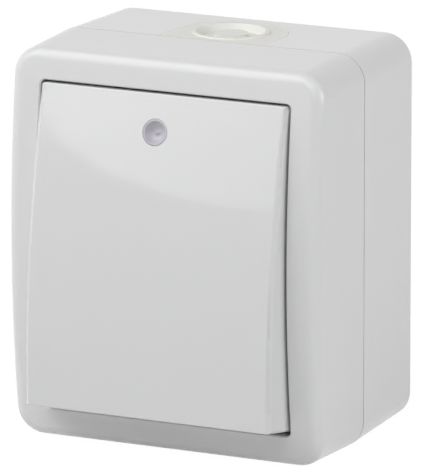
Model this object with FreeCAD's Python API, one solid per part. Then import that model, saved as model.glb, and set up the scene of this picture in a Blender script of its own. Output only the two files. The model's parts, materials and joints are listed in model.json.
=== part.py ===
import FreeCAD, Part
import math
import os

from FreeCAD import Vector

# Surface-mounted weatherproof switch with one large rocker key and an indicator.
# The wall is the plane y = 0, the front looks towards -Y, +Z is up. Millimetres.
# Every depth below is a distance from the wall.

# Housing outline
body_width = 64.9
body_height = 76.0
corner_radius = 5.4
seam_depth = 23.1
front_depth = 43.8
front_arch = 2.97
front_round = 2.3
front_round_margin = 0.2
box_draft = 0.5
cover_draft = 0.5

# Moulded walls
box_wall = 2.6
box_floor = 2.4
back_edge_chamfer = 0.5
seam_gap = 0.2
cover_wall = 2.2
cover_front_wall = 2.4
well_wall = 1.6
well_floor = 1.8
rib_wall = 1.2

# Joint between box and cover: a tongue on the box in a groove of the cover
skirt_wall = 1.1
tongue_height = 2.0
groove_width = 1.7
groove_fin = 1.0
gasket_height = 1.2
joint_clearance = 0.1

# Key opening in the front
side_border = 6.6
end_border = 6.2
opening_corner = 1.0
opening_edge_chamfer = 0.25

# Rocker key
key_gap = 0.4
key_tilt = 7.2
key_arch_radius = 205.0
key_crown_height = 8.4
key_depth = 10.5
key_end_draft = 3.5
key_wall = 1.9
key_side_round = 0.9
key_end_round = 0.3
key_corner_round = 0.8
pivot_below_front = 6.1

# Indicator lens in the key
lens_radius = 2.5
lens_offset = -0.9
lens_from_top = 7.1
lens_length = 3.6
lens_dish = 1.0
lens_rim_bevel = 0.15
lens_rim_width = 0.35
lens_dome_radius = 0.6
lens_dome_height = 0.3
lens_stem_radius = 1.7
lens_stem_length = 2.4
lens_sleeve_wall = 1.2

# Cradle that carries the key on the mechanism
cradle_half_height = 14.0
cradle_plate = 2.0
cradle_plate_offset = 2.0
cheek_wall = 1.8
trunnion_radius = 1.5
lug_wall = 2.5
lug_play = 0.4
lug_eye_radius = 3.4
running_clearance = 0.05
hook_wall = 1.4
hook_width = 4.0
hook_barb = 0.5
hook_edge = 2.5
hook_z = 10.5
hook_play = 0.15

# Spring plunger
plunger_radius = 2.25
plunger_tip_radius = 1.4
plunger_nose_radius = 0.3
plunger_nose_length = 0.9
plunger_tip_length = 6.0
plunger_top_drop = 1.5
tube_wall = 1.2
tube_length = 9.5
spring_radius = 1.3
spring_wire = 0.4
spring_turns = 6
spring_steps = 8
spring_sides = 5
spring_bore_radius = 1.65
spring_bore_depth = 6.0
lever_gap = 0.15

# Mechanism
key_screw_gap = 0.5
gasket_thickness = 1.2
window_clearance = 1.1
seal_width = 4.5
window_top_margin = 3.5
plate_thickness = 3.0
plate_gap = 0.4
mechanism_standoff = 3.6
insulation_wall = 2.0
insulation_half_width = 15.5
terminal_length = 8.0
terminal_face_drop = 1.0
ear_wall = 1.5
ear_half_height = 4.5
ear_side_gap = 0.8
slot_margin = 0.8
plate_corner = 2.5
window_corner = 2.0
part_corner = 1.5
slot_corner = 1.0
base_inset = 1.5

# Screws, bosses and rivets
cover_screw_radius = 1.5
cover_screw_head_radius = 2.7
cover_screw_head = 1.6
cover_pillar_half = 3.2
cover_screw_edge = 3.2
cover_screw_x = 16.0
screw_seal_wall = 0.6
mechanism_screw_radius = 1.4
mechanism_screw_head_radius = 2.5
mechanism_screw_head = 1.7
mechanism_pillar_half = 3.0
screw_head_gap = 0.85
screw_bite = 9.0
slot_width = 0.8
rivet_radius = 1.0
rivet_head_radius = 1.9
rivet_head = 0.8
rivet_boss_radius = 2.3

# Wall fixing and knock-out
fixing_spacing_x = 45.0
fixing_spacing_z = 45.0
fixing_hole_radius = 2.25
knockout_radius = 8.2
knockout_skin = 0.8
knockout_groove = 0.8

# Cable entry grommet
entry_offset = 0.6
entry_from_seam = 9.0
entry_neck_radius = 9.3
entry_flange_radius = 10.9
entry_flange = 1.2
entry_inner_flange = 1.8
entry_ring_radius = 7.7
entry_ring_width = 1.1
entry_ring_height = 0.45
entry_dish_depth = 0.9
entry_button_radius = 3.2
entry_membrane = 1.0
soft_clearance = 0.05

# Current path
strip = 0.8
strip_width = 4.0
terminal_spacing = 15.0
cage_width = 6.4
cage_wall = 0.8
cage_height = 5.4
cage_length = 4.6
cage_clearance = 0.2
terminal_screw_radius = 1.6
terminal_screw_head_radius = 2.8
terminal_screw_head = 1.8
lever_half_width = 3.2
lever_end_gap = 1.5
lever_height = 5.4
lever_tilt = 7.0
lever_pin_radius = 0.8
support_wall = 1.0
contact_inset = 2.3
contact_radius = 1.6
contact_head = 1.2
contact_gap = 0.1

# Indicator lamp
lamp_radius = 1.5
lamp_flange_radius = 1.9
lamp_flange = 1.0
lamp_length = 5.0
lamp_stand_out = 2.5
lamp_bevel = 0.6
holder_radius = 3.1
lead_radius = 0.35
lead_bend = 1.0
lead_sides = 6
lead_spread = 0.9
resistor_radius = 1.15
resistor_length = 6.0

# Sizes that follow from the driving ones
arch_radius = ((body_height / 2) ** 2 + front_arch ** 2) / (2 * front_arch)
opening_half_x = body_width / 2 - side_border
opening_half_z = body_height / 2 - end_border
pivot_depth = front_depth - pivot_below_front
tilt = math.radians(key_tilt)
key_half_x = opening_half_x - key_gap
key_half_z = (opening_half_z - key_gap - key_crown_height * math.sin(tilt)) / math.cos(tilt)
key_sagitta = key_arch_radius - math.sqrt(key_arch_radius ** 2 - key_half_z ** 2)
crown_depth = pivot_depth + key_crown_height + key_sagitta
lens_z = key_half_z - lens_from_top

key_back_z = key_half_z + key_depth * math.tan(math.radians(key_end_draft))
key_reach = (key_depth - key_crown_height) * math.cos(tilt) + key_back_z * math.sin(tilt)
well_depth = pivot_depth - key_reach - key_screw_gap - cover_screw_head - screw_seal_wall
well_back = well_depth - well_floor
plate_front = well_back - gasket_thickness
plate_back = plate_front - plate_thickness
base_back = box_floor + mechanism_standoff
base_inside = base_back + insulation_wall

cover_screw_z = opening_half_z - cover_screw_edge
plate_top = cover_screw_z - cover_pillar_half - plate_gap
base_top = plate_top - base_inset
base_bottom = -plate_top
plate_bottom = base_bottom + terminal_length
window_top = plate_top - window_top_margin
window_bottom = plate_bottom + window_top_margin + plate_gap
ear_end = body_width / 2 - skirt_wall - groove_width - groove_fin - ear_side_gap
pillar_x = ear_end - mechanism_pillar_half
plate_half_x = pillar_x - mechanism_screw_head_radius - screw_head_gap
window_half_x = plate_half_x - seal_width
lug_outer = window_half_x - window_clearance
lug_inner = lug_outer - lug_wall
cradle_half_width = lug_inner - lug_play
hook_x = cradle_half_width - hook_edge - hook_width / 2
chamber_bottom = plate_bottom + insulation_wall
chamber_top = base_top - insulation_wall
chamber_half_x = insulation_half_width - insulation_wall

tube_radius = plunger_radius + running_clearance + tube_wall
lever_depth = base_inside + lever_height
lever_face = lever_depth + strip / 2
plunger_reach = pivot_depth - lever_face - lever_gap
plunger_top = cradle_plate_offset - plunger_top_drop - cradle_plate
slot_half_z = plunger_radius + (pivot_depth - plate_front) * math.tan(tilt) + slot_margin
lever_half_length = -chamber_bottom - lever_end_gap
contact_z = lever_half_length - contact_inset
contact_swing = math.radians(lever_tilt)
contact_top = base_inside + strip + contact_head
contact_reach = (lever_depth - contact_top - contact_gap
                 - (contact_z + contact_radius) * math.sin(contact_swing)) / math.cos(contact_swing)
lamp_z = chamber_top - holder_radius
entry_top = body_height / 2
entry_depth = seam_depth - entry_from_seam
entry_ledge = entry_top - entry_flange


def at(x, depth, z):
    """A point given by its distance from the wall."""
    return Vector(x, -depth, z)


def round_rect(half_x, half_z, radius, depth, x=0.0, z=0.0):
    """A closed outline parallel to the wall, with an arc at each corner."""
    nick = radius * (1 - math.sqrt(0.5))
    arcs = []
    for turn, (side_x, side_z) in enumerate(((1, 1), (-1, 1), (-1, -1), (1, -1))):
        beside = at(x + side_x * half_x, depth, z + side_z * (half_z - radius))
        above = at(x + side_x * (half_x - radius), depth, z + side_z * half_z)
        middle = at(x + side_x * (half_x - nick), depth, z + side_z * (half_z - nick))
        ends = (beside, above) if turn % 2 == 0 else (above, beside)
        arcs.append((ends[0], middle, ends[1]))
    edges = []
    for arc, following in zip(arcs, arcs[1:] + arcs[:1]):
        edges.append(Part.Arc(*arc).toShape())
        edges.append(Part.makeLine(arc[2], following[0]))
    return Part.Wire(edges)


def column(outline, length):
    """A straight solid on an outline, standing out from the wall."""
    return Part.Face(outline).extrude(Vector(0, -length, 0))


def drafted(half_x, half_z, radius, depth0, depth1, slope):
    """A block with flat sides that lean in by the slope from one depth to the other."""
    reach = 4 * max(half_x, half_z)
    lean = slope * (depth1 - depth0)
    across = Part.makePolygon([at(-half_x, depth0, -reach), at(half_x, depth0, -reach),
                               at(half_x - lean, depth1, -reach),
                               at(-half_x + lean, depth1, -reach), at(-half_x, depth0, -reach)])
    upward = Part.makePolygon([at(-reach, depth0, -half_z), at(-reach, depth0, half_z),
                               at(-reach, depth1, half_z - lean),
                               at(-reach, depth1, -half_z + lean), at(-reach, depth0, -half_z)])
    block = Part.Face(across).extrude(Vector(0, 0, 2 * reach))
    block = block.common(Part.Face(upward).extrude(Vector(2 * reach, 0, 0)))
    return rounded(block, radius, lambda edge: edge.BoundBox.YLength > (depth1 - depth0) / 2)


def slab(x0, x1, depth0, depth1, z0, z1):
    """A block with its faces along the axes."""
    return Part.makeBox(x1 - x0, depth1 - depth0, z1 - z0, at(x0, depth1, z0))


def pillar(half, depth0, depth1, x, z):
    """A square post standing out from the wall."""
    return slab(x - half, x + half, depth0, depth1, z - half, z + half)


def peg(radius, depth0, depth1, x=0.0, z=0.0):
    """A round bar standing out from the wall."""
    return Part.makeCylinder(radius, depth1 - depth0, at(x, depth0, z), Vector(0, -1, 0))


def axle(radius, x0, x1, depth, z=0.0):
    """A round bar along X."""
    return Part.makeCylinder(radius, x1 - x0, at(x0, depth, z), Vector(1, 0, 0))


def turned(profile, x=0.0, z=0.0):
    """A turned piece: a list of (radius, depth) corners spun about a line off the wall."""
    corners = [at(x + radius, depth, z) for radius, depth in profile]
    outline = Part.makePolygon(corners + corners[:1])
    return Part.Face(outline).revolve(at(x, 0, z), Vector(0, 1, 0), 360)


def joined(first, *others):
    """One solid out of pieces that meet."""
    return first.multiFuse(list(others)).removeSplitter()


def without(solid, *cutters):
    """A solid with every cutter taken away."""
    for cutter in cutters:
        solid = solid.cut(cutter)
    return solid


def rounded(solid, radius, picks):
    """The solid with the edges that the test picks rounded over."""
    return solid.makeFillet(radius, [edge for edge in solid.Edges if picks(edge)])


def middle_of(edge):
    """The point half way along an edge."""
    return edge.valueAt((edge.FirstParameter + edge.LastParameter) / 2)


def tipped(solid):
    """A piece of the key group turned from level into its rest place, top pressed in."""
    return solid.rotated(at(0, pivot_depth, 0), Vector(1, 0, 0), -key_tilt)


def rocked(solid):
    """A piece of the contact lever turned from level into its rest place, contact closed."""
    return solid.rotated(at(0, lever_depth, 0), Vector(1, 0, 0), lever_tilt)


def box_block(inset, depth0, depth1):
    """The drafted form of the back box between two depths, less a wall."""
    slope = box_draft / seam_depth
    narrowing = inset + box_draft - slope * depth0
    return drafted(body_width / 2 - narrowing, body_height / 2 - narrowing,
                   max(corner_radius - inset, 1.0), depth0, depth1, -slope)


def cover_block(inset, depth0, depth1):
    """The drafted form of the front cover between two depths, less a wall."""
    slope = cover_draft / (front_depth - seam_depth)
    narrowing = inset + slope * (depth0 - seam_depth)
    return drafted(body_width / 2 - narrowing, body_height / 2 - narrowing,
                   max(corner_radius - inset, 1.0), depth0, depth1, slope)


def front_drum(wall=0.0):
    """The cylinder along X whose round is the arched front, less a wall."""
    return axle(arch_radius - wall, -body_width, body_width, front_depth - arch_radius)


def on_front(point):
    """Whether a point lies on the arched front."""
    reach = math.hypot(-point.y - (front_depth - arch_radius), point.z)
    return abs(reach - arch_radius) < 0.01


def entry_block(radius, z0, z1):
    """The U shape of the cable entry: round at its back, open through the rim of the box."""
    centre = Vector(entry_offset, -entry_depth, z0)
    end_depth = seam_depth + 2 * tongue_height
    bar = slab(entry_offset - radius, entry_offset + radius, entry_depth, end_depth, z0, z1)
    return joined(Part.makeCylinder(radius, z1 - z0, centre), bar)


def rim_tongue():
    """The tongue that stands on the rim of the box, all the way round."""
    top = seam_depth + tongue_height
    return cover_block(skirt_wall + joint_clearance, seam_depth, top).cut(
        cover_block(box_wall - joint_clearance, seam_depth, top))


def box_form():
    """The outside form of the back box, filled, with a broken back edge."""
    block = box_block(0, 0, seam_depth)
    return block.makeChamfer(back_edge_chamfer,
                             [edge for edge in block.Edges if edge.BoundBox.YMin > -0.01])


def box_hollow():
    """The inside of the back box, above its floor."""
    return box_block(box_wall, box_floor, seam_depth + tongue_height)


def cover_screw_places():
    """Centres of the two cover screws, on a diagonal of the key well."""
    return ((-cover_screw_x, cover_screw_z), (cover_screw_x, -cover_screw_z))


def back_box():
    """Drafted tray with a sealing tongue, screw pillars, fixing holes and a knock-out."""
    tray = joined(box_form().cut(box_hollow()), rim_tongue())
    fixings = [(side * fixing_spacing_x / 2, end * fixing_spacing_z / 2)
               for side in (-1, 1) for end in (-1, 1)]
    pillars = [pillar(cover_pillar_half, box_floor / 2, well_back, x, z)
               for x, z in cover_screw_places()]
    pillars += [pillar(mechanism_pillar_half, box_floor / 2, plate_back, side * pillar_x, 0)
                for side in (-1, 1)]
    webs = [slab(side * pillar_x - rib_wall / 2, side * pillar_x + rib_wall / 2, box_floor / 2,
                 plate_back / 2, -ear_half_height, ear_half_height) for side in (-1, 1)]
    tray = joined(tray, *pillars, *webs)
    bites = [peg(cover_screw_radius + running_clearance, well_back - screw_bite,
                 well_back, x, z) for x, z in cover_screw_places()]
    bites += [peg(mechanism_screw_radius + running_clearance, plate_back - screw_bite,
                  plate_back, x=side * pillar_x) for side in (-1, 1)]
    holes = [peg(fixing_hole_radius, 0, box_floor, x, z) for x, z in fixings]
    lowest = -body_height / 2
    knockout = Part.makeCylinder(knockout_radius, box_wall, Vector(0, -seam_depth / 2, lowest
                                                                   + box_draft + knockout_skin))
    core = Part.makeCylinder(knockout_radius - knockout_groove, body_height,
                             Vector(0, -seam_depth / 2, lowest))
    slot = entry_block(entry_neck_radius, entry_top - 2 * box_wall, entry_top + box_wall)
    ledge = entry_block(entry_flange_radius, entry_ledge, entry_top + box_wall)
    ledge = ledge.cut(slab(-body_width, body_width, seam_depth, front_depth,
                           0, body_height))
    return without(tray, slot, ledge, knockout.cut(core), *bites, *holes)


def cable_grommet():
    """Soft stepped entry seal: flange flush in the wall, raised ring, thin membrane and button."""
    flange = entry_block(entry_flange_radius - soft_clearance, entry_ledge, entry_top + box_wall)
    neck = entry_block(entry_neck_radius - soft_clearance, entry_top - 2 * box_wall,
                       entry_top + box_wall)
    inner = entry_block(entry_flange_radius, entry_top - box_wall - entry_inner_flange, entry_top)
    body = joined(flange.common(box_form()), neck.common(box_form()).cut(box_hollow()))
    tongue = neck.common(rim_tongue())
    inner = inner.common(box_block(box_wall, box_floor, seam_depth))
    body = joined(body, tongue, inner)
    ring_top = entry_top - box_draft / 2 + entry_ring_height
    ring_foot = entry_ring_radius - entry_ring_width
    dish = ring_foot - entry_ring_width
    membrane_top = ring_top - entry_dish_depth - entry_ring_height
    low = entry_top - box_wall - 2 * entry_inner_flange
    lip = [(0, membrane_top - entry_membrane), (entry_ring_radius, membrane_top - entry_membrane),
           (entry_ring_radius, ring_top - 2 * entry_ring_height),
           (entry_ring_radius - entry_ring_height, ring_top), (ring_foot, ring_top),
           (dish, membrane_top), (entry_button_radius, membrane_top),
           (entry_button_radius, ring_top - entry_ring_height), (0, ring_top - entry_ring_height)]
    bore = Part.makeCylinder(dish, membrane_top - low,
                             Vector(entry_offset, -entry_depth, low))
    above = Part.makeCylinder(entry_ring_radius - entry_ring_height, box_wall,
                              Vector(entry_offset, -entry_depth, membrane_top - entry_membrane))
    return joined(body.cut(bore).cut(above), upright(lip))


def upright(profile):
    """A turned piece of the cable entry: (radius, height) corners spun about its centre line."""
    corners = [Vector(entry_offset + radius, -entry_depth, z) for radius, z in profile]
    outline = Part.makePolygon(corners + corners[:1])
    return Part.Face(outline).revolve(Vector(entry_offset, -entry_depth, 0), Vector(0, 0, 1), 360)


def window_outline(depth, grow=0.0):
    """Outline of the opening in the floor of the key well, through which the lugs stand."""
    middle = (window_top + window_bottom) / 2
    half_z = (window_top - window_bottom) / 2 + grow
    return round_rect(window_half_x + grow, half_z, window_corner + grow, depth, z=middle)


def plate_outline(depth, grow=0.0):
    """Outline of the front plate of the mechanism."""
    middle = (plate_top + plate_bottom) / 2
    half_z = (plate_top - plate_bottom) / 2 + grow
    return round_rect(plate_half_x + grow, half_z, plate_corner + grow, depth, z=middle)


def cover_form(edge_depth):
    """The outside of the cover, filled: its sides lean in as far as the front rounding."""
    rounding_foot = front_depth - front_arch - front_round - front_round_margin
    skirt = cover_block(0, edge_depth, rounding_foot)
    foremost = min(skirt.Faces, key=lambda face: face.CenterOfMass.y)
    rim = foremost.extrude(Vector(0, rounding_foot - front_depth - front_arch, 0))
    return skirt.fuse(rim).common(front_drum())


def front_cover():
    """Arched frame with rounded rim, key well with a window in its floor, ribs and groove."""
    reach = front_depth + front_arch
    edge_depth = seam_depth + seam_gap
    block = rounded(cover_form(edge_depth), front_round, lambda edge: on_front(middle_of(edge)))
    hollow = cover_block(cover_wall, edge_depth - 1, reach)
    shell = block.cut(hollow.common(front_drum(cover_front_wall)))
    outer = round_rect(opening_half_x + well_wall, opening_half_z + well_wall,
                       opening_corner + well_wall, well_back)
    well = column(outer, front_depth - well_back).common(front_drum(cover_front_wall / 2))
    rim_top = seam_depth + tongue_height + gasket_height
    rim = cover_block(skirt_wall / 2, edge_depth, rim_top + groove_fin)
    rim = rim.cut(cover_block(skirt_wall + groove_width + groove_fin, edge_depth,
                              rim_top + groove_fin))
    inside = cover_block(cover_wall / 2, edge_depth, reach)
    inside = inside.common(front_drum(cover_front_wall / 2))
    ribs = []
    for side in (-1, 1):
        x, z = side * opening_half_x / 2, side * opening_half_z / 2
        ribs.append(slab(x - rib_wall / 2, x + rib_wall / 2, rim_top, reach,
                         -body_height / 2, body_height / 2))
        ribs.append(slab(-body_width / 2, body_width / 2, rim_top, reach,
                         z - rib_wall / 2, z + rib_wall / 2))
    ribs = [rib.common(inside) for rib in ribs]
    cover = joined(shell, well, rim, *ribs)
    groove = cover_block(skirt_wall, edge_depth - 1, rim_top)
    groove = groove.cut(cover_block(skirt_wall + groove_width, edge_depth - 1, rim_top))
    key_space = column(round_rect(opening_half_x, opening_half_z, opening_corner, well_depth),
                       front_depth)
    behind = column(round_rect(opening_half_x, opening_half_z, opening_corner, 0), well_back)
    window = column(window_outline(well_back - 1), well_floor + 2)
    holes = [peg(cover_screw_radius + 2 * joint_clearance, well_back - 1, well_depth + 1, x, z)
             for x, z in cover_screw_places()]
    cover = without(cover, groove, key_space, behind, window, *holes)
    return cover.makeChamfer(opening_edge_chamfer, [
        edge for edge in cover.Edges
        if on_front(middle_of(edge)) and abs(middle_of(edge).x) < opening_half_x + 0.01
        and abs(middle_of(edge).z) < opening_half_z + 0.01])


def cover_gasket():
    """Endless rubber seal at the bottom of the cover groove, on which the tongue presses."""
    low, high = seam_depth + tongue_height, seam_depth + tongue_height + gasket_height
    return cover_block(skirt_wall + soft_clearance, low, high).cut(
        cover_block(skirt_wall + groove_width - soft_clearance, low, high))


def mechanism_gasket():
    """Flat seal between the front plate of the mechanism and the floor of the key well."""
    ring = column(plate_outline(plate_front, -slot_margin / 2), gasket_thickness)
    return ring.cut(column(window_outline(plate_front, slot_margin), gasket_thickness))


def key_block(wall=0.0, side_wall=0.0):
    """The level form of the key: arched front, drafted ends and sides, less a wall."""
    end_slope = math.tan(math.radians(key_end_draft))
    radius = key_arch_radius - wall
    centre = crown_depth - key_arch_radius
    half_z = key_half_z - wall
    chord = centre + math.sqrt(radius ** 2 - half_z ** 2)
    back = pivot_depth + key_crown_height - key_depth
    back_z = half_z + (chord - back) * end_slope
    half_x = key_half_x - side_wall
    corners = [at(-half_x, back, -back_z), at(-half_x, chord, -half_z),
               at(-half_x, centre + radius, 0), at(-half_x, chord, half_z),
               at(-half_x, back, back_z)]
    side_view = Part.Wire([Part.makeLine(corners[0], corners[1]),
                           Part.Arc(corners[1], corners[2], corners[3]).toShape(),
                           Part.makeLine(corners[3], corners[4]),
                           Part.makeLine(corners[4], corners[0])])
    return Part.Face(side_view).extrude(Vector(2 * half_x, 0, 0))


def on_key_front(point):
    """Whether a point lies on the arched front of the level key."""
    reach = math.hypot(-point.y - (crown_depth - key_arch_radius), point.z)
    return abs(reach - key_arch_radius) < 0.01


def lens_axis_turn(solid):
    """A piece drawn on the crown line, moved up the arch to the place of the lens."""
    turn = math.degrees(math.asin(lens_z / key_arch_radius))
    return solid.rotated(at(0, crown_depth - key_arch_radius, 0), Vector(1, 0, 0), -turn)


def rocker_key():
    """Curved key shell with stiffening ribs, four snap hooks and a sleeve for the lens."""
    block = rounded(key_block(), key_side_round,
                    lambda edge: on_key_front(middle_of(edge)) and edge.BoundBox.XLength < 0.01)
    block = rounded(block, key_end_round,
                    lambda edge: on_key_front(middle_of(edge))
                    and edge.BoundBox.XLength > key_half_x
                    and abs(middle_of(edge).z) > key_half_z / 2)
    block = block.common(rounded(key_block(), key_corner_round,
                                 lambda edge: abs(middle_of(edge).z) > key_half_z * 0.95
                                 and edge.BoundBox.YLength > key_depth / 2))
    hollow = key_block(key_wall, key_wall)
    shell = block.cut(hollow)
    plate = pivot_depth + cradle_plate_offset + cradle_plate
    ribs = [slab(-key_half_x, key_half_x, plate, crown_depth, z - rib_wall / 2, z + rib_wall / 2)
            for z in (-hook_z, hook_z)]
    ribs += [slab(x - rib_wall / 2, x + rib_wall / 2, plate, crown_depth, -key_half_z, key_half_z)
             for x in (-cradle_half_width + rib_wall, cradle_half_width - rib_wall)]
    inside = key_block(key_wall / 2, key_wall / 2)
    ribs = [rib.common(inside) for rib in ribs]
    hooks = []
    for x in (-hook_x, hook_x):
        for end in (-1, 1):
            z = end * hook_z
            leg = slab(x - hook_width / 2, x + hook_width / 2,
                       plate - cradle_plate - 2 * hook_barb - hook_play, crown_depth - key_wall,
                       z - hook_wall / 2, z + hook_wall / 2)
            barb = Part.makePolygon([
                at(x - hook_width / 2, plate - cradle_plate - hook_play, z + end * hook_wall / 2),
                at(x - hook_width / 2, plate - cradle_plate - hook_play,
                   z + end * (hook_wall / 2 + hook_barb)),
                at(x - hook_width / 2, plate - cradle_plate - 2 * hook_barb - hook_play,
                   z + end * hook_wall / 2),
                at(x - hook_width / 2, plate - cradle_plate - hook_play, z + end * hook_wall / 2)])
            hooks += [leg, Part.Face(barb).extrude(Vector(hook_width, 0, 0))]
    sleeve = lens_axis_turn(peg(lens_radius + running_clearance + lens_sleeve_wall,
                                crown_depth - lens_length - lens_sleeve_wall,
                                crown_depth - key_wall / 2, x=lens_offset))
    seat = lens_axis_turn(peg(lens_radius + running_clearance, crown_depth - lens_length,
                              crown_depth + 1, x=lens_offset))
    neck = lens_axis_turn(peg(lens_stem_radius + running_clearance,
                              crown_depth - lens_length - 2 * lens_sleeve_wall,
                              crown_depth, x=lens_offset))
    return tipped(without(joined(shell, *ribs, *hooks, sleeve), seat, neck))


def indicator_lens():
    """Clear dished window with a small dome in its middle and a light guide stem behind."""
    face = crown_depth
    back = crown_depth - lens_length
    floor = face - lens_dish
    profile = [(0, back - lens_stem_length), (lens_stem_radius, back - lens_stem_length),
               (lens_stem_radius, back), (lens_radius, back),
               (lens_radius, face - lens_rim_bevel), (lens_radius - lens_rim_bevel, face),
               (lens_radius - lens_rim_width, face), (lens_dome_radius, floor),
               (lens_dome_radius * 0.75, floor + lens_dome_height * 0.65),
               (0, floor + lens_dome_height)]
    return tipped(lens_axis_turn(turned(profile, x=lens_offset)))


def cradle():
    """Inner rocker: plate with hook slots, cheeks with trunnions, and the plunger tube."""
    low = pivot_depth + cradle_plate_offset
    plate = column(round_rect(cradle_half_width, cradle_half_height, part_corner, low),
                   cradle_plate)
    cheeks = []
    for side in (-1, 1):
        inner, outer = sorted((side * (cradle_half_width - cheek_wall), side * cradle_half_width))
        cheeks.append(slab(inner, outer, pivot_depth, low, -lug_eye_radius, lug_eye_radius))
        cheeks.append(axle(lug_eye_radius, inner, outer, pivot_depth))
        near, far = sorted((side * (cradle_half_width - cheek_wall), side * (lug_outer + lug_play)))
        cheeks.append(axle(trunnion_radius, near, far, pivot_depth))
    tube = peg(tube_radius, pivot_depth + cradle_plate_offset - tube_length, low)
    webs = [slab(-cradle_half_width + cheek_wall, cradle_half_width - cheek_wall,
                 pivot_depth, low, -rib_wall / 2, rib_wall / 2)]
    slots = [slab(x - hook_width / 2 - hook_play, x + hook_width / 2 + hook_play, low - 1,
                  low + cradle_plate + 1,
                  end * hook_z - hook_wall / 2 - hook_play,
                  end * hook_z + hook_wall / 2 + hook_play)
             for x in (-hook_x, hook_x) for end in (-1, 1)]
    bore = peg(plunger_radius + running_clearance, low - 2 * tube_length, low)
    return tipped(without(joined(plate, *cheeks, tube, *webs), bore, *slots))


def plunger():
    """Hollow plunger with a stepped shank and a pointed nose, driven by its spring."""
    tip = pivot_depth - plunger_reach
    top = pivot_depth + plunger_top
    neck = tip + plunger_tip_length
    shaft = turned([(0, tip), (plunger_nose_radius, tip),
                    (plunger_tip_radius, tip + plunger_nose_length), (plunger_tip_radius, neck),
                    (plunger_radius, neck), (plunger_radius, top), (spring_bore_radius, top),
                    (spring_bore_radius, top - spring_bore_depth), (0, top - spring_bore_depth)])
    return tipped(shaft)


def coil(radius, wire, turns, depth0, depth1):
    """Helical wire with flat facets, from one depth to another about the line off the wall."""
    steps = spring_steps * turns
    rings = []
    for step in range(steps + 1):
        angle = 2 * math.pi * step / spring_steps
        depth = depth0 + (depth1 - depth0) * step / steps
        ring = []
        for side in range(spring_sides):
            around = 2 * math.pi * side / spring_sides
            reach = radius + wire / 2 * math.cos(around)
            ring.append(at(reach * math.cos(angle), depth + wire / 2 * math.sin(around),
                           reach * math.sin(angle)))
        rings.append(ring)
    faces = [Part.Face(Part.makePolygon(ring + ring[:1])) for ring in (rings[0], rings[-1])]
    for near, far in zip(rings, rings[1:]):
        for side in range(spring_sides):
            after = (side + 1) % spring_sides
            faces.append(Part.Face(Part.makePolygon([near[side], near[after], far[side],
                                                     near[side]])))
            faces.append(Part.Face(Part.makePolygon([near[after], far[after], far[side],
                                                     near[after]])))
    return Part.makeSolid(Part.makeShell(faces))


def plunger_spring():
    """Coil spring between the cradle plate and the floor of the plunger bore."""
    low = pivot_depth + plunger_top - spring_bore_depth + spring_wire / 2 + running_clearance
    high = pivot_depth + cradle_plate_offset - spring_wire / 2 - running_clearance
    return tipped(coil(spring_radius, spring_wire, spring_turns, low, high))


def mechanism_cover():
    """Front plate of the mechanism with pivot lugs, plunger slot, lamp hole and screw ears."""
    plate = column(plate_outline(plate_back), plate_thickness)
    collar = column(round_rect(tube_radius + rib_wall, slot_half_z + rib_wall, part_corner,
                               plate_front), rib_wall)
    lugs = []
    for side in (-1, 1):
        x0, x1 = sorted((side * lug_inner, side * lug_outer))
        profile = Part.makePolygon([
            at(x0, plate_front - 1, -2 * lug_eye_radius), at(x0, pivot_depth, -lug_eye_radius),
            at(x0, pivot_depth, lug_eye_radius), at(x0, plate_front - 1, 2 * lug_eye_radius),
            at(x0, plate_front - 1, -2 * lug_eye_radius)])
        lugs.append(Part.Face(profile).extrude(Vector(x1 - x0, 0, 0)))
        lugs.append(axle(lug_eye_radius, x0, x1, pivot_depth))
    ears = [slab(*sorted((side * (plate_half_x - 1), side * ear_end)), plate_back,
                 plate_back + ear_wall, -ear_half_height, ear_half_height) for side in (-1, 1)]
    ears = [rounded(ear, part_corner, lambda edge: abs(middle_of(edge).x) > ear_end - 0.01
                    and edge.BoundBox.YLength > ear_wall / 2) for ear in ears]
    eyes = axle(trunnion_radius + running_clearance, -body_width, body_width, pivot_depth)
    slot = column(round_rect(tube_radius - rib_wall / 2, slot_half_z, slot_corner,
                             plate_back - 1), plate_thickness + 2 * rib_wall + 1)
    lamp = peg(holder_radius + running_clearance, plate_back - 1, plate_front + 1,
               lens_offset, lamp_z)
    screws = [peg(mechanism_screw_radius + joint_clearance, plate_back - 1, plate_front,
                  x=side * pillar_x) for side in (-1, 1)]
    shanks = [peg(rivet_radius + running_clearance, plate_back - 1, plate_front, x, z)
              for x, z in rivet_places()]
    return without(joined(plate, collar, *lugs, *ears), eyes, slot, lamp, *screws, *shanks)


def rivet_places():
    """Centres of the two rivets that close the mechanism."""
    inset = rivet_boss_radius - insulation_wall / 2
    return ((insulation_half_width - insulation_wall - inset, chamber_top - inset),
            (-insulation_half_width + insulation_wall + inset, chamber_bottom + inset))


def mechanism_rivets():
    """Two rivets through the insulating base and the front plate, set flush in front."""
    rivets = [turned([(0, base_back - rivet_head), (rivet_head_radius, base_back - rivet_head),
                      (rivet_head_radius, base_back), (rivet_radius, base_back),
                      (rivet_radius, plate_front), (0, plate_front)], x, z)
              for x, z in rivet_places()]
    return Part.makeCompound(rivets)


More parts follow.
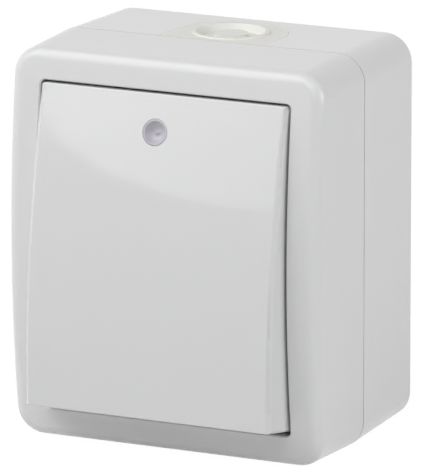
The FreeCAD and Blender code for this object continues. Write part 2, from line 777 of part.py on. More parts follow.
def mechanism_base():
    """Insulating body: contact chamber, terminal chambers, wire entries and rivet bosses."""
    middle = (base_top + base_bottom) / 2
    block = column(round_rect(insulation_half_width, (base_top - base_bottom) / 2, part_corner,
                              base_back, z=middle), plate_back - base_back)
    block = block.cut(slab(-body_width, body_width, plate_back - terminal_face_drop, plate_back,
                           base_bottom - 1, plate_bottom))
    room_z = (chamber_top + chamber_bottom) / 2
    room = column(round_rect(chamber_half_x, (chamber_top - chamber_bottom) / 2, slot_corner,
                             base_inside, z=room_z), plate_back)
    bosses = [peg(rivet_boss_radius, base_back, plate_back, x, z) for x, z in rivet_places()]
    body = joined(block.cut(room), *[boss.common(block) for boss in bosses])
    shanks = [peg(rivet_radius + running_clearance, 0, plate_front, x, z)
              for x, z in rivet_places()]
    cuts = []
    for side in (-1, 1):
        x = side * terminal_spacing / 2
        half = cage_width / 2 + cage_clearance
        cage_back = base_inside - cage_wall - cage_clearance
        cage_top = cage_back + cage_height + 2 * cage_clearance
        cuts.append(slab(x - half, x + half, cage_back, cage_top, base_bottom - 1,
                         base_bottom + cage_length + 2 * cage_clearance + 1))
        cuts.append(slab(x - strip_width / 2 - cage_clearance, x + strip_width / 2 + cage_clearance,
                         base_inside, base_inside + strip + cage_clearance, base_bottom,
                         chamber_bottom + 1))
        shank = terminal_screw_radius + cage_clearance
        head = terminal_screw_head_radius + cage_clearance
        cuts.append(slab(x - shank, x + shank, cage_top - 1, plate_back,
                         base_bottom - 1, terminal_z() + shank))
        cuts.append(slab(x - head, x + head, screw_seat(), plate_back,
                         base_bottom - 1, terminal_z() + head))
    return without(body, *shanks, *cuts)


def screw_seat():
    """Depth of the shoulder under the heads of the terminal screws."""
    return plate_back - terminal_face_drop - terminal_screw_head


def terminal_z():
    """Height of the terminal screws."""
    return base_bottom + 1 + cage_length / 2


def clamp_cage(side):
    """Bent brass cage with a tapped front wall; the wire goes in from below."""
    x = side * terminal_spacing / 2
    back = base_inside - cage_wall
    z0 = terminal_z() - cage_length / 2
    cage = slab(x - cage_width / 2, x + cage_width / 2, back, back + cage_height,
                z0, z0 + cage_length)
    mouth = slab(x - cage_width / 2 + cage_wall, x + cage_width / 2 - cage_wall,
                 back + cage_wall, back + cage_height - 2 * cage_wall, z0 - 1,
                 z0 + cage_length + 1)
    tap = peg(terminal_screw_radius + running_clearance, back + cage_wall + 1,
              back + 2 * cage_height, x, terminal_z())
    return without(cage, mouth, tap)


def slotted_screw(radius, head_radius, head, tip, seat, x, z):
    """Cheese head screw with a driver slot, from its tip to its head above the seat."""
    body = turned([(0, tip), (radius, tip), (radius, seat), (head_radius, seat),
                   (head_radius, seat + head), (0, seat + head)], x, z)
    slot = slab(x - 2 * head_radius, x + 2 * head_radius, seat + head / 2, seat + 2 * head,
                z - slot_width / 2, z + slot_width / 2)
    return body.cut(slot)


def terminal_screws():
    """The two clamping screws of the terminals."""
    tip = base_inside + strip + cage_clearance
    return Part.makeCompound([
        slotted_screw(terminal_screw_radius, terminal_screw_head_radius, terminal_screw_head,
                      tip, screw_seat(), side * terminal_spacing / 2, terminal_z())
        for side in (-1, 1)])


def cover_screws():
    """The two screws in the key well that hold the cover on the box."""
    seat = well_depth + screw_seal_wall
    return Part.makeCompound([
        slotted_screw(cover_screw_radius, cover_screw_head_radius, cover_screw_head,
                      well_back - screw_bite + 1, seat, x, z)
        for x, z in cover_screw_places()])


def screw_seals():
    """Rubber washers under the heads of the cover screws."""
    seals = []
    for x, z in cover_screw_places():
        ring = peg(cover_screw_head_radius, well_depth, well_depth + screw_seal_wall, x, z)
        hole = peg(cover_screw_radius + soft_clearance, well_depth - 1,
                   well_depth + screw_seal_wall + 1, x, z)
        seals.append(ring.cut(hole))
    return Part.makeCompound(seals)


def mechanism_screws():
    """The two screws that hold the mechanism on the posts of the box."""
    return Part.makeCompound([
        slotted_screw(mechanism_screw_radius, mechanism_screw_head_radius, mechanism_screw_head,
                      plate_back - screw_bite + 1, plate_back + ear_wall, side * pillar_x, 0)
        for side in (-1, 1)])


def terminal_strip(side, z_end):
    """Flat brass strip from the wire clamp into the contact chamber, along its floor."""
    x = side * terminal_spacing / 2
    return slab(x - strip_width / 2, x + strip_width / 2, base_inside, base_inside + strip,
                base_bottom + 1, z_end)


def common_terminal():
    """Feed strip with two uprights whose notches carry the contact lever."""
    half = strip_width / 2
    inner = lever_half_width + support_wall
    bridge = slab(-terminal_spacing / 2 - strip_width / 2, inner + support_wall, base_inside,
                  base_inside + strip, -half, half)
    top = lever_depth + lever_pin_radius
    uprights = []
    for side in (-1, 1):
        x0, x1 = sorted((side * inner, side * (inner + support_wall)))
        uprights.append(slab(x0, x1, base_inside, top, -half, half))
    notch = axle(lever_pin_radius + running_clearance, -body_width / 2, body_width / 2, lever_depth)
    throat = slab(-body_width / 2, body_width / 2, lever_depth, top + 1,
                  -lever_pin_radius - running_clearance, lever_pin_radius + running_clearance)
    return without(joined(terminal_strip(-1, half), bridge, *uprights), notch, throat)


def fixed_contact_z():
    """Height at which the closed lever lays its contact."""
    return -contact_z * math.cos(contact_swing) + contact_reach * math.sin(contact_swing)


def load_terminal():
    """Outgoing strip whose side arm lies under the lever and holds the fixed contact."""
    z0, z1 = fixed_contact_z() - strip_width / 2, fixed_contact_z() + strip_width / 2
    arm = slab(-strip_width / 2, terminal_spacing / 2, base_inside, base_inside + strip, z0, z1)
    return joined(terminal_strip(1, z1), arm)


def fixed_contact():
    """Contact button welded on the outgoing strip."""
    return peg(contact_radius, base_inside + strip, contact_top, z=fixed_contact_z())


def contact_lever():
    """Springy copper lever on cross pins, rocked by the plunger."""
    blade = column(round_rect(lever_half_width, lever_half_length, part_corner,
                              lever_depth - strip / 2), strip)
    pins = []
    for side in (-1, 1):
        x0, x1 = sorted((side * (lever_half_width - lever_pin_radius),
                         side * (lever_half_width + 2 * support_wall)))
        pins.append(axle(lever_pin_radius, x0, x1, lever_depth))
    return rocked(joined(blade, *pins))


def moving_contact():
    """Contact button welded under the lower end of the lever."""
    return rocked(peg(contact_radius, lever_depth - contact_reach, lever_depth - strip / 2,
                      z=-contact_z))


def lamp_base():
    """Depth of the foot of the indicator lamp."""
    return plate_front + lamp_stand_out - lamp_length


def lamp_holder():
    """Moulded tube from the floor of the chamber to the front plate, holding the lamp."""
    foot = lamp_base()
    top = plate_front + rib_wall
    tube = turned([(lamp_flange_radius + running_clearance, base_inside),
                   (holder_radius, base_inside), (holder_radius, top),
                   (lamp_radius + running_clearance, top),
                   (lamp_radius + running_clearance, foot + lamp_flange),
                   (lamp_flange_radius + running_clearance, foot + lamp_flange)],
                  lens_offset, lamp_z)
    door = slab(lens_offset - 2 * holder_radius, lens_offset + 2 * holder_radius, base_inside,
                base_inside + 3 * lead_bend, lamp_z - lamp_radius, lamp_z + lamp_radius)
    return tube.cut(door)


def indicator_lamp():
    """Small lamp with a bevelled end and a flange, shining towards the lens."""
    foot = lamp_base()
    top = plate_front + lamp_stand_out
    return turned([(0, foot), (lamp_flange_radius, foot), (lamp_flange_radius, foot + lamp_flange),
                   (lamp_radius, foot + lamp_flange), (lamp_radius, top - lamp_bevel),
                   (lamp_radius - lamp_bevel, top), (0, top)], lens_offset, lamp_z)


def bent_wire(points):
    """Wire with flat sides through corner points, each corner cut across at the same length."""
    path = [points[0]]
    for before, corner, beyond in zip(points, points[1:], points[2:]):
        path.append(corner + (before - corner).normalize() * lead_bend)
        path.append(corner + (beyond - corner).normalize() * lead_bend)
    path.append(points[-1])
    runs = [(after - before).normalize() for before, after in zip(path, path[1:])]
    across = runs[0].cross(Vector(1, 0, 0) if abs(runs[0].x) < 0.5 else Vector(0, 0, 1))
    over = runs[0].cross(across)
    ring = []
    for side in range(lead_sides):
        around = 2 * math.pi * side / lead_sides
        ring.append(path[0] + (across * math.cos(around) + over * math.sin(around)) * lead_radius)
    faces = [Part.Face(Part.makePolygon(ring + ring[:1]))]
    for run, following, corner in zip(runs, runs[1:] + runs[-1:], path[1:]):
        mitre = run + following
        ahead = [point + run * ((corner - point).dot(mitre) / run.dot(mitre)) for point in ring]
        for side in range(lead_sides):
            after = (side + 1) % lead_sides
            faces.append(Part.Face(Part.makePolygon([ring[side], ring[after], ahead[after],
                                                     ahead[side], ring[side]])))
        ring = ahead
    faces.append(Part.Face(Part.makePolygon(ring + ring[:1])))
    return Part.makeSolid(Part.makeShell(faces))


def lead_floor():
    """Depth of the lead wires where they lie on the strips."""
    return base_inside + strip + lead_radius


def resistor_x():
    """Side position of the series resistor and its leads."""
    return terminal_spacing / 2 + strip_width / 4


def lamp_leads():
    """Three bare leads: lamp to feed strip, lamp to resistor, resistor to outgoing strip."""
    left, right = lens_offset - lead_spread, lens_offset + lead_spread
    low = lead_floor()
    feed = bent_wire([at(left, lamp_base(), lamp_z), at(left, low, lamp_z),
                      at(-terminal_spacing / 2, low, lamp_z), at(-terminal_spacing / 2, low, 0)])
    drop = bent_wire([at(right, lamp_base(), lamp_z), at(right, low, lamp_z),
                      at(resistor_x(), low, lamp_z), at(resistor_x(), low, resistor_top())])
    out = bent_wire([at(resistor_x(), low, resistor_top() - resistor_length),
                     at(resistor_x(), low, fixed_contact_z())])
    return Part.makeCompound([feed, drop, out])


def resistor_top():
    """Upper end of the series resistor."""
    return lamp_z - 4 * lead_bend


def lamp_resistor():
    """Series resistor of the lamp: a plain ceramic body between its leads."""
    return Part.makeCylinder(resistor_radius, resistor_length,
                             at(resistor_x(), lead_floor(), resistor_top() - resistor_length),
                             Vector(0, 0, 1))


PIECES = {
    "back_box": back_box(),
    "front_cover": front_cover(),
    "cover_gasket": cover_gasket(),
    "cable_grommet": cable_grommet(),
    "cover_screws": cover_screws(),
    "screw_seals": screw_seals(),
    "rocker_key": rocker_key(),
    "indicator_lens": indicator_lens(),
    "cradle": cradle(),
    "plunger": plunger(),
    "plunger_spring": plunger_spring(),
    "mechanism_cover": mechanism_cover(),
    "mechanism_gasket": mechanism_gasket(),
    "mechanism_base": mechanism_base(),
    "mechanism_rivets": mechanism_rivets(),
    "mechanism_screws": mechanism_screws(),
    "line_clamp": clamp_cage(-1),
    "load_clamp": clamp_cage(1),
    "terminal_screws": terminal_screws(),
    "common_terminal": common_terminal(),
    "load_terminal": load_terminal(),
    "fixed_contact": fixed_contact(),
    "contact_lever": contact_lever(),
    "moving_contact": moving_contact(),
    "indicator_lamp": indicator_lamp(),
    "lamp_holder": lamp_holder(),
    "lamp_resistor": lamp_resistor(),
    "lamp_leads": lamp_leads(),
}

os.makedirs("parts", exist_ok=True)
for name, piece in PIECES.items():
    piece.exportStep("parts/" + name + ".step")
    print(name, len(piece.Solids), round(piece.Volume, 2), piece.isValid())
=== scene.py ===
import json
import math

import bmesh
import bpy
import numpy as np
from mathutils import Matrix, Vector


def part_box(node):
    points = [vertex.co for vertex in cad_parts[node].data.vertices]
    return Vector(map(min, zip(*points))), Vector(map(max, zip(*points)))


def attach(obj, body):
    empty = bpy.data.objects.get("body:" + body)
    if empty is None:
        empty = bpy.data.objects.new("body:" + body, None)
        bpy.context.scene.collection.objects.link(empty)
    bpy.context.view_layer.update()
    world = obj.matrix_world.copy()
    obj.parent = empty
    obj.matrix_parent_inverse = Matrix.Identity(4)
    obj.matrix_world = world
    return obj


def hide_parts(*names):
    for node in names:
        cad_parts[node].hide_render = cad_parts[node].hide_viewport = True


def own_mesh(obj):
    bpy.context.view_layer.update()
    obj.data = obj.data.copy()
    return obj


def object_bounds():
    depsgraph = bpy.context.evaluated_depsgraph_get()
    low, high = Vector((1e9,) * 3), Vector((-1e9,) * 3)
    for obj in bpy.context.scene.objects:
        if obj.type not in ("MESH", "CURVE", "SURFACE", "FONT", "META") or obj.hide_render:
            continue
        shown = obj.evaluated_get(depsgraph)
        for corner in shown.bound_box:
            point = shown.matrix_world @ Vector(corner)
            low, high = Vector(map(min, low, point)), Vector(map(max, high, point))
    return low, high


# The switch as it comes off the bench: every solid of it, already in its place.
# Nothing below moves one of them.
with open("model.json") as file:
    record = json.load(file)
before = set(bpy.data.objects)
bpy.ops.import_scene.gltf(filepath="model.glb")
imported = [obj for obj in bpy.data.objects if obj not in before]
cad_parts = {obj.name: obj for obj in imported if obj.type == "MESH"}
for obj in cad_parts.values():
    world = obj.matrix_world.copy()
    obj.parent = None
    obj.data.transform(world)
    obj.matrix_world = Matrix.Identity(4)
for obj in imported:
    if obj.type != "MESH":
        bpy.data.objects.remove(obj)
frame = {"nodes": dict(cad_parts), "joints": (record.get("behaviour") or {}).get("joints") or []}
solids = frame["nodes"]
cad_low, cad_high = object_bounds()

scene = bpy.context.scene
scene.view_settings.view_transform = "Standard"


# The camera stands to the right of the switch and a little above it, well back, so that
# the long lens keeps the housing almost without perspective. It looks at a point in the
# middle of the housing, 22 mm off the wall.
azimuth, elevation, roll = np.radians([25.574, 13.787, -0.1])
distance = 1.3238
sight = np.array([0.0, -0.022, 0.0])

back = np.array([math.sin(azimuth) * math.cos(elevation),
                 -math.cos(azimuth) * math.cos(elevation), math.sin(elevation)])
level = np.array([math.cos(azimuth), math.sin(azimuth), 0.0])
upward = np.cross(back, level)
right = math.cos(roll) * level + math.sin(roll) * upward
above = math.cos(roll) * upward - math.sin(roll) * level

camera_data = bpy.data.cameras.new("camera")
camera_data.lens = 532.06
camera_data.sensor_width = 36.0
camera_data.shift_x = 0.0020
camera_data.shift_y = -0.0027
camera_data.clip_start = 0.05
camera_data.clip_end = 20.0
camera = bpy.data.objects.new("camera", camera_data)
stand = np.eye(4)
stand[:3, :3] = np.stack([right, above, back], axis=1)
stand[:3, 3] = sight + distance * back
camera.matrix_world = Matrix(stand.tolist())
scene.collection.objects.link(camera)
scene.camera = camera


# The studio: five squares of cloth with a lamp behind each, so no light has a hard edge.
# Each is given by its bearing and height in degrees, its distance, side and power, and by
# whether gloss shows it. The low left one would draw a bright line along the key's edge.
cloths = (
    ("left_high", -43.0, 50.0, 1.2, 1.0, 8.6, True),
    ("left_low", -75.0, 20.0, 1.3, 0.7, 3.0, False),
    ("front_high", 5.0, 38.0, 1.3, 0.5, 2.6, True),
    ("right_high", 50.0, 50.0, 1.2, 0.7, 1.55, True),
    ("right_low", 93.0, 17.0, 0.8, 0.43, 2.25, True),
)
for name, bearing, height, reach, side, power, in_gloss in cloths:
    bearing, height = math.radians(bearing), math.radians(height)
    towards = Vector((math.sin(bearing) * math.cos(height),
                      -math.cos(bearing) * math.cos(height), math.sin(height)))
    lamp_data = bpy.data.lights.new(name, "AREA")
    lamp_data.shape = "SQUARE"
    lamp_data.size = side
    lamp_data.energy = power
    lamp = bpy.data.objects.new(name, lamp_data)
    lamp.location = Vector(sight) + reach * towards
    lamp.rotation_euler = towards.to_track_quat("Z", "Y").to_euler()
    lamp.visible_glossy = in_gloss
    scene.collection.objects.link(lamp)


# The white room round the switch. Scattered light finds it almost dark, so that only the
# lamps model the switch, and the camera, the gloss and the glass see it as plain white.
room_light, room_white = 0.05, 1.0
white_paint = (1.0, 1.0, 1.0, 1.0)


class Socket:
    """A value in a material. Each operator adds the Math node that works it out."""

    def __init__(self, tree, plug):
        self.tree = tree
        self.plug = plug

    def maths(self, operation, *values):
        return add_node(self.tree, "ShaderNodeMath", dict(enumerate(values)),
                        operation=operation)

    def __add__(self, other):
        return self.maths("ADD", self, other)

    def __radd__(self, other):
        return self.maths("ADD", other, self)

    def __sub__(self, other):
        return self.maths("SUBTRACT", self, other)

    def __rsub__(self, other):
        return self.maths("SUBTRACT", other, self)

    def __mul__(self, other):
        return self.maths("MULTIPLY", self, other)

    def __rmul__(self, other):
        return self.maths("MULTIPLY", other, self)

    def __truediv__(self, other):
        return self.maths("DIVIDE", self, other)

    def __rtruediv__(self, other):
        return self.maths("DIVIDE", other, self)

    def __pow__(self, other):
        return self.maths("POWER", self, other)

    def __rpow__(self, other):
        return self.maths("POWER", other, self)

    def __gt__(self, other):
        return self.maths("GREATER_THAN", self, other)

    def __lt__(self, other):
        return self.maths("LESS_THAN", self, other)


def fill(tree, slot, value):
    """Links a socket to an input, or writes a plain value into it."""
    if isinstance(value, Socket):
        tree.links.new(value.plug, slot)
    else:
        slot.default_value = value


def add_node(tree, kind, values, output=0, **settings):
    """A node of a kind: its settings first, then its inputs, by their name or number."""
    made = tree.nodes.new(kind)
    for name, setting in settings.items():
        setattr(made, name, setting)
    for slot, value in values.items():
        fill(tree, made.inputs[slot], value)
    return Socket(tree, made.outputs[output])


def seen_plainly(tree):
    """1 on rays from the camera, from gloss and through glass, and 0 on scattered light."""
    camera_ray, gloss_ray, glass_ray = (
        add_node(tree, "ShaderNodeLightPath", {}, output=kind)
        for kind in ("Is Camera Ray", "Is Glossy Ray", "Is Transmission Ray"))
    either = camera_ray.maths("MAXIMUM", camera_ray, gloss_ray)
    return either.maths("MAXIMUM", either, glass_ray)


def blended(tree, share, first, second):
    """A Mix Shader that goes from the first shader to the second as a share goes to 1."""
    return add_node(tree, "ShaderNodeMixShader", {0: share, 1: first, 2: second})


world = bpy.data.worlds.new("room")
world.use_nodes = True
scene.world = world
room = world.node_tree
room.nodes.clear()
dim = add_node(room, "ShaderNodeBackground", {"Strength": room_light})
white = add_node(room, "ShaderNodeBackground", {"Color": white_paint, "Strength": room_white})
fill(room, room.nodes.new("ShaderNodeOutputWorld").inputs["Surface"],
     blended(room, seen_plainly(room), dim, white))


# The pale table under the switch: a wide sheet of matt white paper. The camera and the
# gloss see most of it as plain white, and a small share of it keeps the soft shadow.
table_reach = 6.0
paper_colour, paper_roughness = (0.79, 0.79, 0.79, 1.0), 0.9
paper_glow, paper_share = 1.04, 0.94


class Finish:
    """A surface finish on a Principled shader. What it is given is the same all over."""

    def __init__(self, name, **constants):
        self.material = bpy.data.materials.new(name)
        self.material.use_nodes = True
        self.tree = self.material.node_tree
        self.surface = self.tree.nodes["Principled BSDF"]
        self.feed(**constants)

    def node(self, kind, values, output=0, **settings):
        """Adds a node of a kind to the finish and gives one of its outputs."""
        return add_node(self.tree, kind, values, output, **settings)

    def place(self):
        """Where a point lies on the piece, in metres."""
        return self.node("ShaderNodeTexCoord", {}, output="Object")

    def noise(self, scale, detail=2.0, roughness=0.5, where=None):
        """Cloudy noise between 0 and 1, with so many lumps to the metre."""
        return self.node("ShaderNodeTexNoise", {
            "Vector": where or self.place(), "Scale": scale, "Detail": detail,
            "Roughness": roughness})

    def mix(self, share, first, second):
        """A colour that goes from the first to the second as a share goes from 0 to 1."""
        return self.node("ShaderNodeMix", {0: share, 6: first, 7: second}, output=2,
                         data_type="RGBA")

    def bump(self, height, depth, strength):
        """A surface raised by a height between 0 and 1 times a depth in metres."""
        return self.node("ShaderNodeBump", {"Height": height, "Distance": depth,
                                            "Strength": strength})

    def feed(self, **values):
        """Fills the shader's own inputs with values or with links."""
        for slot, value in values.items():
            fill(self.tree, self.surface.inputs[slot.replace("_", " ")], value)
        return self

    def glow(self, colour, strength):
        """A shader that gives off light of a colour, where a strength of 1 is white."""
        return self.node("ShaderNodeEmission", {"Color": colour, "Strength": strength})

    def show(self, shader):
        """Shows another shader in place of the Principled one."""
        fill(self.tree, self.tree.nodes["Material Output"].inputs["Surface"], shader)

    def wear(self, *names):
        """Puts the finish on CAD solids."""
        for name in names:
            for slot in solids[name].material_slots:
                slot.material = self.material


corners = ((-1.0, -1.0), (1.0, -1.0), (1.0, 1.0), (-1.0, 1.0))
table_mesh = bpy.data.meshes.new("table")
table_mesh.from_pydata([(table_reach * x, table_reach * y, cad_low.z) for x, y in corners],
                       [], [(0, 1, 2, 3)])
table = bpy.data.objects.new("table", table_mesh)
scene.collection.objects.link(table)
paper = Finish("table_paper", Base_Color=paper_colour, Roughness=paper_roughness)
paper.show(blended(paper.tree, seen_plainly(paper.tree) * paper_share,
                   Socket(paper.tree, paper.surface.outputs[0]),
                   paper.glow(white_paint, paper_glow)))
table_mesh.materials.append(paper.material)


# The softbox in front, the one lamp whose edge shows: a tall lit card with round corners,
# whose lower left corner crosses the gloss of the key. It only shows in gloss, and its
# light falls off from left to right.
card_bearing = math.radians(-25.0)
card_distance = 0.9
card_left, card_right, card_low, card_high = -0.041, 0.30, 0.091, 0.60
corner_width, corner_height, corner_steps = 0.085, 0.210, 17
card_strength, fade_start, fade_width = 3.5, -0.417, 0.195
black_paint = (0.0, 0.0, 0.0, 1.0)


def rounded_card(left, right, low, high, wide, tall, steps):
    """The outline of a card whose corners are quarter ellipses, as across and up.

    A point is the corner, moved inwards by the ellipse's half axes, plus those half axes
    times the cosine and the sine of its turn.
    """
    quarter = np.linspace(0.0, 0.5 * math.pi, steps)
    arcs = []
    for turn, (across, up) in enumerate(((right, high), (left, high), (left, low),
                                         (right, low))):
        swing = quarter + turn * 0.5 * math.pi
        inward = -1.0 if across == right else 1.0
        upward = -1.0 if up == high else 1.0
        arcs.append(np.stack([across + wide * (inward + np.cos(swing)),
                              up + tall * (upward + np.sin(swing))], axis=1))
    return np.concatenate(arcs)


card_across, card_up = rounded_card(card_left, card_right, card_low, card_high,
                                    corner_width, corner_height, corner_steps).T
card_points = np.stack([
    card_across * math.cos(card_bearing) + card_distance * math.sin(card_bearing),
    card_across * math.sin(card_bearing) - card_distance * math.cos(card_bearing),
    card_up], axis=1)
card_mesh = bpy.data.meshes.new("softbox")
card_mesh.from_pydata(card_points.tolist(), [], [list(range(len(card_points)))])
card = bpy.data.objects.new("softbox", card_mesh)
card.visible_camera = False
card.visible_diffuse = False
card.visible_shadow = False
card.visible_transmission = False
scene.collection.objects.link(card)
cloth = Finish("softbox_cloth")
sideways = cloth.node("ShaderNodeSeparateXYZ", {"Vector": cloth.place()}, output="X")
cloth.show(blended(cloth.tree, (sideways - fade_start) / fade_width,
                   cloth.glow(white_paint, card_strength), cloth.glow(black_paint, 0.0)))
card_mesh.materials.append(cloth.material)


# Housing: back box and arched front cover, injection moulded in light grey-white ABS with
# a polished tool, so the gloss is even and only a very fine orange peel is left.
housing_shade, housing_light = (0.770, 0.772, 0.773, 1.0), (0.784, 0.786, 0.787, 1.0)
peel_depth = 0.000004


def between(share, low, high):
    """A number that goes from low to high as a share goes from 0 to 1."""
    return low + share * (high - low)


housing = Finish("housing_plastic", IOR=1.5)
clouds = housing.noise(scale=35.0, detail=3.0)
peel = housing.noise(scale=1400.0, detail=1.0)
housing.feed(
    Base_Color=housing.mix(clouds, housing_shade, housing_light),
    Roughness=between(clouds, 0.19, 0.26),
    Normal=housing.bump(peel, peel_depth, strength=0.3),
).wear("back_box", "front_cover")


# Cable entry: soft off-white elastomer, a little duller and yellower than the housing.
# It is moulded as a stepped ring with a thin membrane, sits in the slot in the top wall of
# the box, and the front cover closes the slot round it.
entry_shade, entry_light = (0.838, 0.833, 0.790, 1.0), (0.858, 0.853, 0.812, 1.0)
entry_grain = 0.00002
entry = Finish("entry_elastomer")
grain = entry.noise(scale=900.0, detail=3.0, roughness=0.6)
clouds = entry.noise(scale=60.0)
entry.feed(
    Base_Color=entry.mix(clouds, entry_shade, entry_light),
    Roughness=between(grain, 0.42, 0.58),
    Normal=entry.bump(grain, entry_grain, strength=0.5),
).wear("cable_grommet")


# Insulating base: the dark grey body of the mechanism, with the chambers for the strips and
# the contacts. It is moulded in a filled compound, and the pale specks are the filler.
compound, filler = (0.045, 0.045, 0.048, 1.0), (0.14, 0.14, 0.135, 1.0)
speck_level, speck_cover, speck_depth = 0.62, 0.5, 0.00002
insulation = Finish("base_compound")
specks = insulation.noise(scale=1600.0, detail=2.0, roughness=0.7)
insulation.feed(
    Base_Color=insulation.mix((specks > speck_level) * speck_cover, compound, filler),
    Roughness=between(specks, 0.40, 0.65),
    Normal=insulation.bump(specks, speck_depth, strength=0.5),
).wear("mechanism_base")


# Current path: strips, wire clamps and contact lever, stamped and bent from rolled brass.
# The grain runs along the strip, and the metal is lightly tarnished in patches.
tarnished_brass, bright_brass = (0.60, 0.42, 0.17, 1.0), (0.78, 0.58, 0.27, 1.0)
lines_to_the_metre, brass_grain = (3000.0, 3000.0, 120.0), 0.00001
brass = Finish("stamped_brass", Metallic=1.0)
along_strip = brass.node("ShaderNodeMapping", {"Vector": brass.place(),
                                               "Scale": lines_to_the_metre})
grain = brass.noise(scale=1.0, where=along_strip)
patches = brass.noise(scale=250.0, detail=3.0)
brass.feed(
    Base_Color=brass.mix(patches, tarnished_brass, bright_brass),
    Roughness=between(grain, 0.20, 0.35) + between(patches, 0.0, 0.12),
    Normal=brass.bump(grain, brass_grain, strength=0.4),
).wear("line_clamp", "load_clamp", "common_terminal", "load_terminal", "contact_lever")


# Contacts: a silver button welded on the lever and one on the outgoing strip. The metal is
# bright, with patches that the sparks have greyed a little.
greyed_silver, bright_silver = (0.72, 0.70, 0.66, 1.0), (0.93, 0.92, 0.90, 1.0)
silver = Finish("contact_silver", Metallic=1.0)
patches = silver.noise(scale=1200.0, detail=3.0)
silver.feed(
    Base_Color=silver.mix(patches, greyed_silver, bright_silver),
    Roughness=between(patches, 0.12, 0.32),
).wear("fixed_contact", "moving_contact")


# Indicator lamp: a small glass lamp behind the lens, drawn and sealed at its end, and held
# in its tube by its flange. The gas in it gives it a faint orange cast.
lamp_cast = (0.92, 0.62, 0.48, 1.0)
bulb = Finish("lamp_glass", Base_Color=lamp_cast, Transmission_Weight=0.6, IOR=1.5)
bulb.feed(Roughness=between(bulb.noise(scale=800.0), 0.05, 0.13)).wear("indicator_lamp")


# Series resistor: a ceramic body dipped in beige coat, with four painted rings round it.
# The starts of the rings and their width are shares of the body's height.
coat_shade, coat_light = (0.56, 0.40, 0.22, 1.0), (0.64, 0.48, 0.29, 1.0)
rings = (
    (0.20, (0.60, 0.42, 0.02, 1.0)),
    (0.40, (0.25, 0.03, 0.30, 1.0)),
    (0.56, (0.75, 0.42, 0.01, 1.0)),
    (0.80, (0.50, 0.33, 0.10, 1.0)),
)
ring_width = 0.08
body_bottom, body_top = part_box("lamp_resistor")
body_height = body_top.z - body_bottom.z
coat = Finish("resistor_coat")
up = coat.node("ShaderNodeSeparateXYZ", {"Vector": coat.place()}, output="Z")
painted = coat.mix(coat.noise(scale=900.0), coat_shade, coat_light)
for start, colour in rings:
    ring_low = body_bottom.z + start * body_height
    inside = (up > ring_low) * (up < ring_low + ring_width * body_height)
    painted = coat.mix(inside, painted, colour)
coat.feed(
    Base_Color=painted,
    Roughness=between(coat.noise(scale=700.0), 0.32, 0.47),
).wear("lamp_resistor")


# Lamp leads: three bare copper wires, dipped in tin and bent to run between the strips, the
# resistor and the lamp. They are duller where the tin has run.
tin_shade, tin_light = (0.52, 0.51, 0.48, 1.0), (0.72, 0.71, 0.68, 1.0)
tin = Finish("tinned_wire", Metallic=1.0)
run = tin.noise(scale=600.0, detail=3.0)
tin.feed(
    Base_Color=tin.mix(run, tin_shade, tin_light),
    Roughness=between(run, 0.25, 0.47),
).wear("lamp_leads")


# Inner mouldings: front plate of the mechanism, cradle, plunger and lamp tube, injection
# moulded in natural white nylon, semi matt and slightly cloudy.
nylon_shade, nylon_light = (0.70, 0.69, 0.65, 1.0), (0.78, 0.77, 0.73, 1.0)
nylon_grain = 0.00002
nylon = Finish("inner_nylon")
clouds = nylon.noise(scale=120.0, detail=3.0)
nylon.feed(
    Base_Color=nylon.mix(clouds, nylon_shade, nylon_light),
    Roughness=between(clouds, 0.36, 0.52),
    Normal=nylon.bump(nylon.noise(scale=1500.0), nylon_grain, strength=0.4),
).wear("mechanism_cover", "cradle", "plunger", "lamp_holder")


# Rubber seals: cut and moulded black rubber, matt, with a trace of talc. They lie between
# box and cover, between front plate and key well, and under the heads of the cover screws.
bare_rubber, dusted_rubber = (0.018, 0.018, 0.019, 1.0), (0.10, 0.10, 0.10, 1.0)
talc_edge, rubber_grain = 3.0, 0.00003
rubber = Finish("seal_rubber")
talc = rubber.noise(scale=500.0, detail=4.0, roughness=0.65)
rubber.feed(
    Base_Color=rubber.mix(talc ** talc_edge, bare_rubber, dusted_rubber),
    Roughness=between(talc, 0.62, 0.87),
    Normal=rubber.bump(talc, rubber_grain, strength=0.6),
).wear("cover_gasket", "mechanism_gasket", "screw_seals")


# Screws and rivets: cold formed steel with a bright zinc coat and a slight blue cast.
# They hold the mechanism together, the mechanism on the box, the wires and the cover.
blue_zinc, warm_zinc = (0.56, 0.58, 0.60, 1.0), (0.70, 0.70, 0.68, 1.0)
crystal_depth = 0.00002
zinc = Finish("zinc_steel", Metallic=1.0)
crystals = zinc.noise(scale=700.0, detail=3.0, roughness=0.6)
streaks = zinc.noise(scale=160.0)
zinc.feed(
    Base_Color=zinc.mix(streaks, blue_zinc, warm_zinc),
    Roughness=between(crystals, 0.22, 0.44),
    Normal=zinc.bump(crystals, crystal_depth, strength=0.4),
).wear("cover_screws", "mechanism_screws", "mechanism_rivets", "terminal_screws")


# Rocker key: the same plastic as the housing, from a better polished tool, so that it
# shows the edge of the softbox. It is snapped on the cradle.
key_shade, key_light = (0.742, 0.746, 0.745, 1.0), (0.752, 0.756, 0.755, 1.0)
key_peel = 0.000001
key = Finish("key_plastic", IOR=1.5)
clouds = key.noise(scale=30.0, detail=3.0)
peel = key.noise(scale=1100.0, detail=1.0)
key.feed(
    Base_Color=key.mix(clouds, key_shade, key_light),
    Roughness=between(clouds, 0.035, 0.055),
    Normal=key.bump(peel, key_peel, strength=0.1),
).wear("rocker_key")


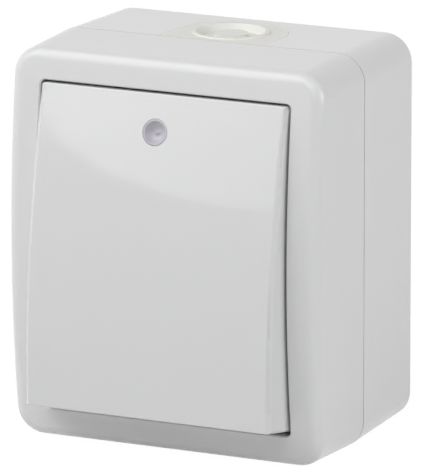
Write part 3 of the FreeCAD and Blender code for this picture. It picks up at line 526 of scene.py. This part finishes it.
# Indicator lens: moulded window of smoky violet-grey acrylic, milky enough to hide the
# lamp, with a bowl in its face and a small dome in the middle of the bowl. It is pushed
# into its sleeve from the front, with its light guide stem towards the lamp.
lens_face = (-0.0009, -0.0440273, 0.0244744)
lens_tilt = math.radians(13.78)
lens_radius, lens_body = 0.0025, 0.0036
stem_radius, stem_length = 0.0017, 0.0024
rim_round, rim_width = 0.00015, 0.00034
bowl_depth, bowl_power = 0.00135, 3.2
dome_height, dome_spread = 0.00045, 0.00042
lens_sides, rim_steps, bowl_steps = 96, 6, 40
sharp_edge = math.radians(50.0)
acrylic_shade, acrylic_light = (0.67, 0.65, 0.71, 1.0), (0.72, 0.70, 0.76, 1.0)


def turned_mesh(name, radii, depths, centre, tilt, sides):
    """A profile turned about an axis that leans up from -Y by a tilt.

    A point is the centre, plus its radius around the axis, less its depth along it. The
    profile starts and ends on the axis, and each of those ends is one vertex.
    """
    turn = np.arange(sides) * 2.0 * math.pi / sides
    sideways = np.array([1.0, 0.0, 0.0])
    uphill = np.array([0.0, math.sin(tilt), math.cos(tilt)])
    outward = np.array([0.0, -math.cos(tilt), math.sin(tilt)])
    ring = np.cos(turn)[:, None] * sideways + np.sin(turn)[:, None] * uphill
    stations = np.asarray(centre) - depths[:, None] * outward
    rings = stations[1:-1, None, :] + radii[1:-1, None, None] * ring
    points = np.concatenate([rings.reshape(-1, 3), stations[:1], stations[-1:]])
    here, following = np.arange(sides), (np.arange(sides) + 1) % sides
    rows = np.arange(len(rings) - 1)[:, None] * sides
    quads = np.stack([rows + here, rows + following, rows + following + sides,
                      rows + here + sides], axis=-1).reshape(-1, 4)
    start, end = len(points) - 2, len(points) - 1
    last = (len(rings) - 1) * sides
    faces = quads.tolist()
    faces += np.stack([following, here, np.full(sides, start)], axis=1).tolist()
    faces += np.stack([here + last, following + last, np.full(sides, end)], axis=1).tolist()
    mesh = bpy.data.meshes.new(name)
    mesh.from_pydata(points.tolist(), [], faces)
    mesh.shade_smooth()
    mesh.set_sharp_from_angle(angle=sharp_edge)
    return mesh


rim_swing = np.linspace(0.0, 0.5 * math.pi, rim_steps)
bowl_rim = lens_radius - rim_width
bowl_radii = np.linspace(bowl_rim, 0.0, bowl_steps)
bowl_floor = (bowl_depth * (1.0 - (bowl_radii / bowl_rim) ** bowl_power)
              - dome_height * np.exp(-(bowl_radii / dome_spread) ** 2))
lens_radii = np.concatenate([
    [0.0, stem_radius, stem_radius, lens_radius],
    lens_radius - rim_round + rim_round * np.cos(rim_swing), bowl_radii])
lens_depths = np.concatenate([
    [lens_body + stem_length, lens_body + stem_length, lens_body, lens_body],
    rim_round - rim_round * np.sin(rim_swing), bowl_floor])
window_mesh = turned_mesh("lens_window", lens_radii, lens_depths, lens_face, lens_tilt,
                          lens_sides)
window = bpy.data.objects.new("lens_window", window_mesh)
scene.collection.objects.link(window)
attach(window, "rocker")
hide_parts("indicator_lens")

lens = Finish("lens_acrylic", IOR=1.49, Transmission_Weight=0.15)
haze = lens.noise(scale=900.0)
lens.feed(
    Base_Color=lens.mix(haze, acrylic_shade, acrylic_light),
    Roughness=between(haze, 0.06, 0.11),
)
window_mesh.materials.append(lens.material)


# Plunger spring: drawn spring wire with a greyish patented surface. The CAD coil is copied
# into a piece of its own, with its doubled points merged, and parented to the plunger's body.
# Its length along the plunger's slide is measured, but the coil is not shortened.
merge_distance = 1e-6
wire_shade, wire_light = (0.36, 0.36, 0.37, 1.0), (0.55, 0.55, 0.56, 1.0)
wire = Finish("spring_wire", Metallic=1.0)
drawn = wire.noise(scale=2500.0)
wire.feed(
    Base_Color=wire.mix(drawn, wire_shade, wire_light),
    Roughness=between(drawn, 0.28, 0.43),
)

loose = bmesh.new()
loose.from_mesh(solids["plunger_spring"].data)
bmesh.ops.remove_doubles(loose, verts=loose.verts, dist=merge_distance)
coil_mesh = bpy.data.meshes.new("plunger_coil")
loose.to_mesh(coil_mesh)
loose.free()
coil_mesh.materials.append(wire.material)
coil = bpy.data.objects.new("plunger_coil", coil_mesh)
scene.collection.objects.link(coil)
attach(coil, "plunger_body")
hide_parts("plunger_spring")

slide = next(joint for joint in frame["joints"] if joint["name"] == "plunger_slide")
outward = Vector(slide["axis"]).normalized()
stations = [outward.dot(vertex.co) for vertex in coil_mesh.vertices]
coil_length = max(stations) - min(stations)
1.0 - slide["range_m"][1] / coil_length
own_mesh(coil)
